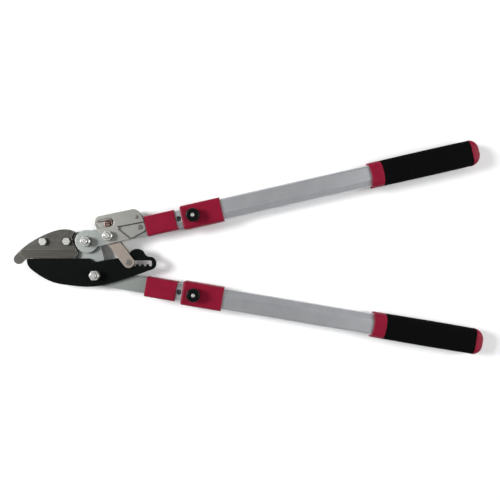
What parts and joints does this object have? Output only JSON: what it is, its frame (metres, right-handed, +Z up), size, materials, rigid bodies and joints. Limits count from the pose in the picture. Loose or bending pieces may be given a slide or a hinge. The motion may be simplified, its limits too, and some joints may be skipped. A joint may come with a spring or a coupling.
{
  "type": "ratchet anvil loppers",
  "caption": "Long-handled ratchet anvil loppers: hooked anvil, notched blade moved by a linked lever, telescopic handles with plunger locks and soft grips.",
  "frame": {"origin": "the blade's pivot axis at the underside of its bolt's head, which lies on the same plane as the lever pivot bolt's head and both grips", "axes": "+X from the jaws towards the handles, +Y across the tool towards the anvil, +Z up from the plane the tool lies on"},
  "size_m": [0.6896, 0.3148, 0.0373],
  "materials": {
    "bar_steel": "satin grey pressed steel plate",
    "anvil_steel": "dark ground steel",
    "blade_coating": "black low-friction coating",
    "cheek_steel": "pressed steel sheet",
    "link_steel": "passivated zinc, slightly pink",
    "zinc_fasteners": "bright zinc plate",
    "spring_wire": "coppery spring wire",
    "red_moulding": "crimson glass-filled nylon",
    "black_moulding": "black moulded plastic",
    "tube_aluminium": "satin anodised tube",
    "grip_foam": "black foam rubber"
  },
  "bodies": {
    "frame": {"frame_plate": "bar_steel", "anvil": "anvil_steel", "anvil_bolts": "zinc_fasteners", "anvil_nuts": "zinc_fasteners", "blade_pivot_bolt": "zinc_fasteners", "blade_pivot_nut": "zinc_fasteners", "blade_pivot_washers": "zinc_fasteners", "blade_pivot_bush": "zinc_fasteners", "lever_pivot_bolt": "zinc_fasteners", "lever_pivot_nut": "zinc_fasteners", "lever_pivot_washers": "zinc_fasteners", "lever_pivot_bush": "zinc_fasteners", "lower_sleeve": "red_moulding", "lower_tang_packer": "black_moulding", "lower_tang_rivets": "zinc_fasteners", "lower_inner_tube": "tube_aluminium", "lower_tube_bush": "black_moulding"},
    "blade": {"blade": "blade_coating"},
    "lever": {"lever_bar": "bar_steel", "cheek_front": "cheek_steel", "cheek_rear": "cheek_steel", "cheek_rivets": "zinc_fasteners", "cheek_spacer": "cheek_steel", "link_pivot_bolt": "zinc_fasteners", "link_pivot_nut": "zinc_fasteners", "link_bush": "zinc_fasteners", "ratchet_spring": "spring_wire", "spring_post": "zinc_fasteners", "upper_sleeve": "red_moulding", "upper_tang_packer": "black_moulding", "upper_tang_rivets": "zinc_fasteners", "upper_inner_tube": "tube_aluminium", "upper_tube_bush": "black_moulding"},
    "link": {"link_front": "link_steel", "link_rear": "link_steel", "link_pin": "zinc_fasteners"},
    "upper_outer_handle": {"upper_clamp": "red_moulding", "upper_clamp_screws": "zinc_fasteners", "upper_outer_tube": "tube_aluminium", "upper_grip_ring": "red_moulding", "upper_grip": "grip_foam", "upper_end_cap": "red_moulding"},
    "lower_outer_handle": {"lower_clamp": "red_moulding", "lower_clamp_screws": "zinc_fasteners", "lower_outer_tube": "tube_aluminium", "lower_grip_ring": "red_moulding", "lower_grip": "grip_foam", "lower_end_cap": "red_moulding"},
    "upper_lock": {"upper_lock_knob": "black_moulding", "upper_lock_pin": "zinc_fasteners", "upper_lock_spring": "spring_wire"},
    "lower_lock": {"lower_lock_knob": "black_moulding", "lower_lock_pin": "zinc_fasteners", "lower_lock_spring": "spring_wire"}
  },
  "joints": [
    {"name": "lever_pivot", "type": "hinge", "parent": "frame", "child": "lever", "pos_m": [-0.013, 0.0498, 0.013], "axis": [0, 0, 1], "range_deg": [0, 50]},
    {"name": "blade_pivot", "type": "hinge", "parent": "frame", "child": "blade", "pos_m": [0, 0, 0.013], "axis": [0, 0, 1], "range_deg": [0, 31.5]},
    {"name": "link_pivot", "type": "hinge", "parent": "lever", "child": "link", "pos_m": [0.02, 0.058, 0.013], "axis": [0, 0, 1], "range_deg": [-54, 0]},
    {"name": "upper_handle_slide", "type": "slide", "parent": "lever", "child": "upper_outer_handle", "axis": [0.9753, 0.221, 0], "range_m": [0, 0.315]},
    {"name": "lower_handle_slide", "type": "slide", "parent": "frame", "child": "lower_outer_handle", "axis": [0.9861, -0.1659, 0], "range_m": [0, 0.315]},
    {"name": "upper_lock_plunger", "type": "slide", "parent": "upper_outer_handle", "child": "upper_lock", "axis": [0, 0, 1], "range_m": [-0.0025, 0], "deforming": ["upper_lock_spring"]},
    {"name": "lower_lock_plunger", "type": "slide", "parent": "lower_outer_handle", "child": "lower_lock", "axis": [0, 0, 1], "range_m": [-0.0025, 0], "deforming": ["lower_lock_spring"]}
  ],
  "couplings": [
    {"joint": "blade_pivot", "follows": "lever_pivot", "ratio": 0.6275},
    {"joint": "link_pivot", "follows": "lever_pivot", "ratio": -1.0675}
  ]
}
